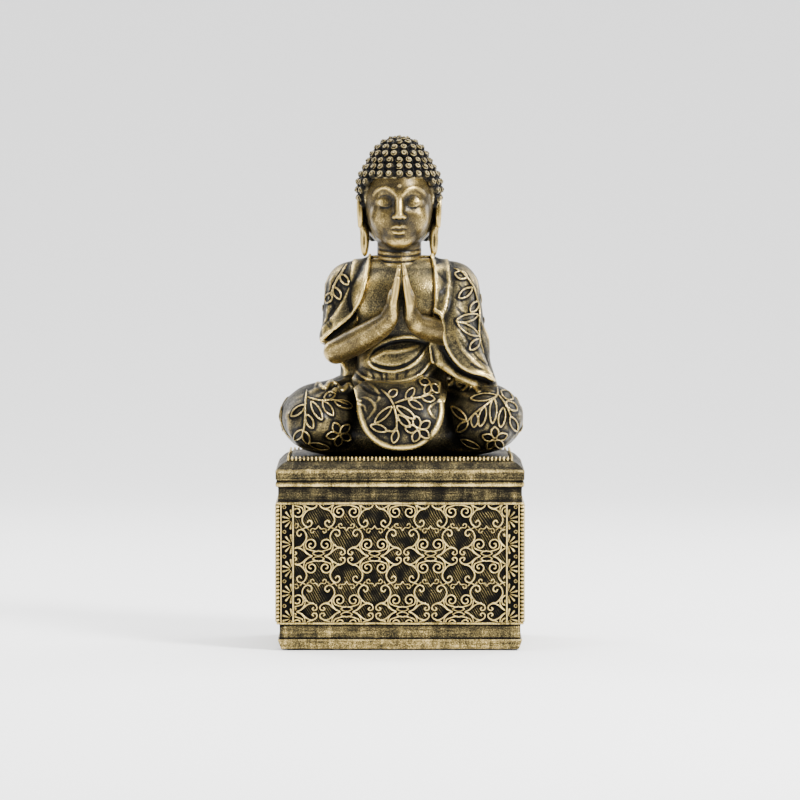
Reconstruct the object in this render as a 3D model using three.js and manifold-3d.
// A keepsake box with a seated, praying figure on its lift-off lid.
// Millimetres, +Z up. The front faces -Y, and the origin is the centre of the underside.
// Left and right on the figure are the figure's own, so its right side is at -X.
import * as THREE from "three";
import { mergeVertices } from "three/addons/utils/BufferGeometryUtils.js";
import Module from "manifold-3d";

const wasm = await Module();
wasm.setup();

// ---------------------------------------------------------------- driving dimensions
const WIDTH = 100; // along X, over the corner beads
const DEPTH = 78; // along Y, over the corner beads
const WALL = 6.5; // from the overall width or depth to the cavity
const FLOOR = 7; // top of the box's floor
const GAP = 0.3; // between neighbours that meet on a curved or a cut face

// Heights at which the outline of the box and of the lid changes, from the underside up.
const LEVEL = {
  underside: 0.5,
  footTop: 4.5,
  friezeTop: 10.5,
  panelBottom: 11.5,
  panelTop: 58.5,
  filletTop: 59.6,
  rimBottom: 65.6,
  rimTop: 68,
  bandTop: 71.5,
  bevelBottom: 72.4,
  bevelTop: 75.6,
  platform: 76.6,
  trimTop: 76.9,
};

// How far each part of the outline stands back from the overall width and depth.
const INSET = {
  footBottom: 2.2,
  footTop: 1,
  lowerFrieze: 1.75,
  fillet: 0.5,
  core: 2,
  upperFrieze: 1.2,
  rim: 0.25,
  rimLip: 0.9,
  band: 0.2,
  bandLip: 0.8,
  bevelBottom: 0.5,
  bevelTop: 4.4,
  trim: 4.7,
  platform: 6,
};
const RIM_ROUND = 0.6; // height of the rim's and the band's rounded edges

const FELT = { thick: 1.2, inset: 4.5 };
const TONGUE = { deep: 3, clearance: 0.5 };

// Across each wall, measured from its middle to its corner.
const BEAD_RADIUS = 1; // of the corner beads
const BORDER_WIDTH = 5.7; // fan strip with the raised line beside it
const BORDER_THICK = 1.9;
const PANEL_THICK = 1.4;
const JOINT = 0.1; // hairline between the flat strips of a wall

// ---------------------------------------------------------------- materials
const antique = (color) => new THREE.MeshStandardMaterial({ color, roughness: 0.45, metalness: 0.7 });
const MATERIAL = {
  box: antique(0x5a4a2c),
  relief: antique(0x6e5a30),
  lid: antique(0x6a5630),
  robe: antique(0x4e4228),
  skin: antique(0x9a8048),
  hair: antique(0x5c4c2a),
  felt: new THREE.MeshStandardMaterial({ color: 0x1c1b1a, roughness: 0.95, metalness: 0 }),
};

// ---------------------------------------------------------------- solids
// A closed three.js geometry as a manifold-3d solid.
function solidOf(geometry) {
  const bare = geometry.clone();
  bare.deleteAttribute("normal");
  bare.deleteAttribute("uv");
  const merged = mergeVertices(bare, 1e-4);
  const index = merged.index.array;
  const triangles = [];
  for (let i = 0; i < index.length; i += 3) {
    const [a, b, c] = [index[i], index[i + 1], index[i + 2]];
    if (a !== b && b !== c && c !== a) triangles.push(a, b, c);
  }
  return new wasm.Manifold(
    new wasm.Mesh({
      numProp: 3,
      vertProperties: merged.attributes.position.array,
      triVerts: new Uint32Array(triangles),
    }),
  );
}

function geometryOf(solid) {
  const mesh = solid.getMesh();
  const geometry = new THREE.BufferGeometry();
  geometry.setAttribute("position", new THREE.BufferAttribute(mesh.vertProperties, 3));
  geometry.setIndex(new THREE.BufferAttribute(mesh.triVerts, 1));
  geometry.computeVertexNormals();
  return geometry;
}

const join = (solids) => solids.reduce((sum, next) => sum.add(next));
const cut = (solid, tools) => tools.reduce((left, tool) => left.subtract(tool), solid);
const largest = (solid) => solid.decompose().reduce((a, b) => (b.volume() > a.volume() ? b : a));

// A rectangular slab between two heights. It stands back from the overall width and depth by one inset at the
// bottom and another at the top.
function slab(bottom, top, insetBottom, insetTop = insetBottom) {
  const geometry = new THREE.BoxGeometry(2, 2, top - bottom);
  const position = geometry.attributes.position;
  for (let i = 0; i < position.count; i++) {
    const inset = position.getZ(i) > 0 ? insetTop : insetBottom;
    position.setX(i, position.getX(i) * (WIDTH / 2 - inset));
    position.setY(i, position.getY(i) * (DEPTH / 2 - inset));
  }
  return solidOf(geometry.translate(0, 0, (bottom + top) / 2));
}

// An ellipsoid: its centre, its three radii and its turn about X, Y and Z in degrees.
const BLOB_SIDES = 18;
const BLOB_RINGS = 10;
function blob(at, radii, turn = [0, 0, 0]) {
  return (grow) => {
    const geometry = new THREE.SphereGeometry(1, BLOB_SIDES, BLOB_RINGS);
    geometry.rotateX(Math.PI / 2);
    geometry.scale(...radii.map((radius) => radius + grow));
    const angles = turn.map(THREE.MathUtils.degToRad);
    geometry.applyMatrix4(new THREE.Matrix4().makeRotationFromEuler(new THREE.Euler(...angles)));
    return solidOf(geometry.translate(...at));
  };
}

// A round limb that tapers from one ball to another.
const LIMB_SIDES = 12;
function limb(from, to, radiusFrom, radiusTo) {
  return (grow) => {
    const start = new THREE.Vector3(...from);
    const along = new THREE.Vector3(...to).sub(start);
    const geometry = new THREE.CylinderGeometry(
      radiusTo + grow,
      radiusFrom + grow,
      along.length(),
      LIMB_SIDES,
    );
    const upright = new THREE.Vector3(0, 1, 0);
    const turn = new THREE.Quaternion().setFromUnitVectors(upright, along.clone().normalize());
    geometry.applyQuaternion(turn);
    geometry.translate(...start.addScaledVector(along, 0.5).toArray());
    const ball = (at, radius) => {
      const sphere = new THREE.SphereGeometry(radius + grow, LIMB_SIDES, LIMB_SIDES / 2);
      return solidOf(sphere.applyQuaternion(turn).translate(...at));
    };
    return join([solidOf(geometry), ball(from, radiusFrom), ball(to, radiusTo)]);
  };
}

// A round body of elliptical section: its outline as [radius, height] pairs, and its depth over its width.
const TURNED_SIDES = 24;
function turned(outline, depthRatio, at) {
  return (grow) => {
    const first = outline[0][1];
    const last = outline[outline.length - 1][1];
    const side = outline.map(([radius, height]) => new THREE.Vector2(radius + grow, height));
    const profile = [new THREE.Vector2(0, first), ...side, new THREE.Vector2(0, last)];
    const geometry = new THREE.LatheGeometry(profile, TURNED_SIDES);
    geometry.rotateX(Math.PI / 2);
    geometry.scale(1, depthRatio, 1);
    return solidOf(geometry.translate(...at));
  };
}

// A list of shapes as one solid, each shape grown on every side.
const build = (shapes, grow = 0) => join(shapes.map((shape) => shape(grow)));

// ---------------------------------------------------------------- box
function boxBody() {
  const outline = join([
    slab(LEVEL.underside, LEVEL.footTop, INSET.footBottom, INSET.footTop),
    slab(LEVEL.footTop, LEVEL.friezeTop, INSET.lowerFrieze),
    slab(LEVEL.friezeTop, LEVEL.panelBottom, INSET.fillet),
    slab(LEVEL.panelBottom, LEVEL.panelTop, INSET.core),
    slab(LEVEL.panelTop, LEVEL.filletTop, INSET.fillet),
    slab(LEVEL.filletTop, LEVEL.rimBottom, INSET.upperFrieze),
    slab(LEVEL.rimBottom, LEVEL.rimBottom + RIM_ROUND, INSET.upperFrieze, INSET.rim),
    slab(LEVEL.rimBottom + RIM_ROUND, LEVEL.rimTop - RIM_ROUND, INSET.rim),
    slab(LEVEL.rimTop - RIM_ROUND, LEVEL.rimTop, INSET.rim, INSET.rimLip),
  ]);
  const cavity = slab(FLOOR, LEVEL.rimTop + 1, WALL);
  const feltPocket = slab(0, FELT.thick, FELT.inset - GAP);
  return cut(outline, [cavity, feltPocket]);
}

const baseFelt = () => slab(0, FELT.thick, FELT.inset);

// Each wall faces -Y before it is turned about Z into its place.
const WALLS = [
  { name: "front", turn: 0, reach: DEPTH / 2, half: WIDTH / 2 },
  { name: "right", turn: 1, reach: WIDTH / 2, half: DEPTH / 2 },
  { name: "back", turn: 2, reach: DEPTH / 2, half: WIDTH / 2 },
  { name: "left", turn: 3, reach: WIDTH / 2, half: DEPTH / 2 },
];

function wallPlate(wall, from, to, thick) {
  const tall = LEVEL.panelTop - LEVEL.panelBottom;
  const geometry = new THREE.BoxGeometry(to - from, thick, tall);
  const across = (from + to) / 2;
  const out = wall.reach - INSET.core + thick / 2;
  return geometry.translate(across, -out, LEVEL.panelBottom + tall / 2);
}

function wallGroup(wall) {
  const group = new THREE.Group();
  group.rotation.z = (wall.turn * Math.PI) / 2;
  const outer = wall.half - 2 * BEAD_RADIUS - JOINT;
  const inner = outer - BORDER_WIDTH;
  const panel = inner - JOINT;
  group.add(
    named(`panel_${wall.name}`, wallPlate(wall, -panel, panel, PANEL_THICK), MATERIAL.relief),
    named(`border_${wall.name}_left`, wallPlate(wall, -outer, -inner, BORDER_THICK), MATERIAL.relief),
    named(`border_${wall.name}_right`, wallPlate(wall, inner, outer, BORDER_THICK), MATERIAL.relief),
  );
  return group;
}

const CORNERS = [
  { name: "front_left", x: -1, y: -1 },
  { name: "front_right", x: 1, y: -1 },
  { name: "back_right", x: 1, y: 1 },
  { name: "back_left", x: -1, y: 1 },
];

function cornerBeads(corner) {
  const tall = LEVEL.panelTop - LEVEL.panelBottom;
  const geometry = new THREE.CylinderGeometry(BEAD_RADIUS, BEAD_RADIUS, tall, 12);
  const mesh = named(`corner_beads_${corner.name}`, geometry.rotateX(Math.PI / 2), MATERIAL.relief);
  mesh.position.set(
    corner.x * (WIDTH / 2 - BEAD_RADIUS),
    corner.y * (DEPTH / 2 - BEAD_RADIUS),
    LEVEL.panelBottom + tall / 2,
  );
  return mesh;
}

// ---------------------------------------------------------------- lid
function lidPlate() {
  return join([
    slab(LEVEL.rimTop - TONGUE.deep, LEVEL.rimTop, WALL + TONGUE.clearance),
    slab(LEVEL.rimTop, LEVEL.rimTop + RIM_ROUND, INSET.bandLip, INSET.band),
    slab(LEVEL.rimTop + RIM_ROUND, LEVEL.bandTop, INSET.band),
    slab(LEVEL.bandTop, LEVEL.bevelBottom, INSET.band, INSET.bevelBottom),
    slab(LEVEL.bevelBottom, LEVEL.bevelTop, INSET.bevelBottom, INSET.bevelTop),
    slab(LEVEL.bevelTop, LEVEL.platform, INSET.platform),
  ]);
}

function beadTrim() {
  const outer = slab(LEVEL.bevelTop, LEVEL.trimTop, INSET.trim);
  return cut(outer, [slab(0, LEVEL.trimTop + 1, INSET.platform - GAP)]);
}

// ---------------------------------------------------------------- figure
const LEGS = [
  blob([-31.5, -5, 90.8], [15.7, 26, 13.8], [0, 0, -8]),
  blob([33, -5, 90.8], [15.7, 26, 13.8], [0, 0, 8]),
  limb([-13, 10, 99], [-32, -4, 92], 13.5, 12.5),
  limb([15, 10, 99], [33.5, -4, 92], 13.5, 12.5),
  limb([-27, -17, 86], [28.5, -17, 86], 10, 10),
  blob([0.8, 9, 91], [36, 22.5, 17]),
];

// The apron is a cloth with a straight top and a round lower edge, bulging forwards.
const APRON = { x: 1, halfWidth: 16.5, top: 99, bottom: 79.6, back: -18, front: -34 };
const APRON_BULGE = blob([1, -12, 87], [27, 21.4, 22]);
function apron() {
  const straight = APRON.top - APRON.bottom - APRON.halfWidth;
  const outline = new THREE.Shape();
  outline.moveTo(-APRON.halfWidth, straight);
  outline.absarc(0, 0, APRON.halfWidth, Math.PI, 2 * Math.PI);
  outline.lineTo(APRON.halfWidth, straight);
  const cloth = new THREE.ExtrudeGeometry(outline, {
    depth: APRON.back - APRON.front,
    bevelEnabled: false,
    curveSegments: 20,
  });
  cloth.rotateX(Math.PI / 2);
  cloth.translate(APRON.x, APRON.back, APRON.bottom + APRON.halfWidth);
  return solidOf(cloth).intersect(APRON_BULGE(0));
}

const TORSO = [
  turned(
    [
      [24, 98],
      [21, 106],
      [18, 114],
      [19, 124],
      [22, 137],
      [21.5, 146],
      [17, 152],
      [11.5, 155.5],
    ],
    0.66,
    [0.6, 0.5, 0],
  ),
];

const ROBE = [
  turned(
    [
      [27, 98],
      [25, 110],
      [26.5, 124],
      [26.5, 138],
      [22, 149],
      [12, 156],
    ],
    0.56,
    [0.8, 6, 0],
  ),
  limb([-19.5, 2, 144], [-23, -3, 121.5], 10.8, 9.3),
  limb([21, 2, 144], [26, -3, 121], 10.8, 9.4),
  limb([-19.5, 2, 144], [-9, 4, 150], 10.8, 6.5),
  limb([21, 2, 144], [9.5, 4, 150], 10.8, 6.5),
  limb([27, -4, 121], [33, -8, 108], 8.5, 7),
];

// Both forearms rise to hands pressed together a little left or right of the middle plane.
const PALM = { x: 0.6, y: -23, wrist: 134.5, knuckles: 143, tips: 152.2 };
function forearm(side, elbow, elbowRadius) {
  const at = (x, z) => [PALM.x + side * x, PALM.y, z];
  return [
    limb(elbow, at(7, PALM.wrist), elbowRadius, 3.9),
    limb(at(7, PALM.wrist), at(3.2, PALM.knuckles), 3.9, 3),
    limb(at(3.2, PALM.knuckles), at(1.7, PALM.tips), 3, 1.4),
    blob(at(3.1, PALM.knuckles), [2.7, 4.8, 8.5], [0, side * -12, 0]),
  ];
}
const RIGHT_FOREARM = forearm(-1, [-26.5, -11, 119], 5.2);
const LEFT_FOREARM = forearm(1, [21, -11, 124.5], 5.4);

const HEAD = [
  blob([-0.3, -1, 181], [14.4, 16, 17.2]),
  blob([-0.3, -4.5, 172], [12, 11.5, 13]),
  blob([-0.3, -15.8, 175.5], [1.7, 2.2, 4.6], [-14, 0, 0]),
  limb([-0.3, 1.5, 150], [-0.3, 0.5, 168], 9.3, 9),
  ...[-1, 1].flatMap((side) => [
    blob([-0.3 + side * 15, 1, 173], [1.8, 3.4, 8]),
    blob([-0.3 + side * 14.1, 1, 163.4], [1.7, 2.5, 7]),
  ]),
];

const HAIR = [
  blob([-0.3, 1, 184], [17.4, 17.6, 15.2]),
  blob([-0.3, 1.5, 197.4], [10.9, 11, 8.6]),
];

// A big block whose face is the hairline, which falls from the forehead to the nape.
function belowHairline() {
  const size = 80;
  const block = new THREE.BoxGeometry(size, size, size);
  block.translate(0, 0, -size / 2);
  block.rotateX(THREE.MathUtils.degToRad(-40));
  return solidOf(block.translate(0, -13, 188));
}

function figure() {
  const floor = slab(0, LEVEL.platform, -20);
  const legs = build(LEGS);
  const head = build(HEAD);
  const torso = build(TORSO);
  const robe = build(ROBE);
  const legsGrown = build(LEGS, GAP);
  const headGrown = build(HEAD, GAP);
  const torsoGrown = build(TORSO, GAP);
  const robeGrown = build(ROBE, GAP);
  const midPlane = solidOf(new THREE.BoxGeometry(GAP, 20, 40).translate(PALM.x, PALM.y, PALM.knuckles));
  const arm = (shapes) => largest(cut(build(shapes), [robeGrown, torsoGrown, legsGrown, midPlane]));
  const rightArm = arm(RIGHT_FOREARM);
  return {
    crossed_legs: [cut(legs, [floor]), MATERIAL.robe],
    lap_apron: [largest(cut(apron(), [legsGrown, torsoGrown, robeGrown, floor])), MATERIAL.robe],
    torso: [largest(cut(torso, [legsGrown, headGrown])), MATERIAL.robe],
    outer_robe: [largest(cut(robe, [torsoGrown, headGrown, legsGrown])), MATERIAL.robe],
    right_forearm: [rightArm, MATERIAL.skin],
    left_forearm: [arm(LEFT_FOREARM), MATERIAL.skin],
    head: [head, MATERIAL.skin],
    hair_cap: [largest(cut(build(HAIR), [headGrown, belowHairline()])), MATERIAL.hair],
  };
}

// ---------------------------------------------------------------- assembly
function named(name, geometry, material) {
  const mesh = new THREE.Mesh(geometry, material);
  mesh.name = name;
  return mesh;
}

const box = new THREE.Group();
box.add(
  named("box_body", geometryOf(boxBody()), MATERIAL.box),
  named("base_felt", geometryOf(baseFelt()), MATERIAL.felt),
  ...WALLS.map(wallGroup),
  ...CORNERS.map(cornerBeads),
);

const lid = new THREE.Group();
lid.add(
  named("lid_plate", geometryOf(lidPlate()), MATERIAL.lid),
  named("bead_trim", geometryOf(beadTrim()), MATERIAL.lid),
);
for (const [name, [solid, material]] of Object.entries(figure())) {
  lid.add(named(name, geometryOf(solid), material));
}

const keepsakeBox = new THREE.Group();
keepsakeBox.add(box, lid);

export default keepsakeBox;
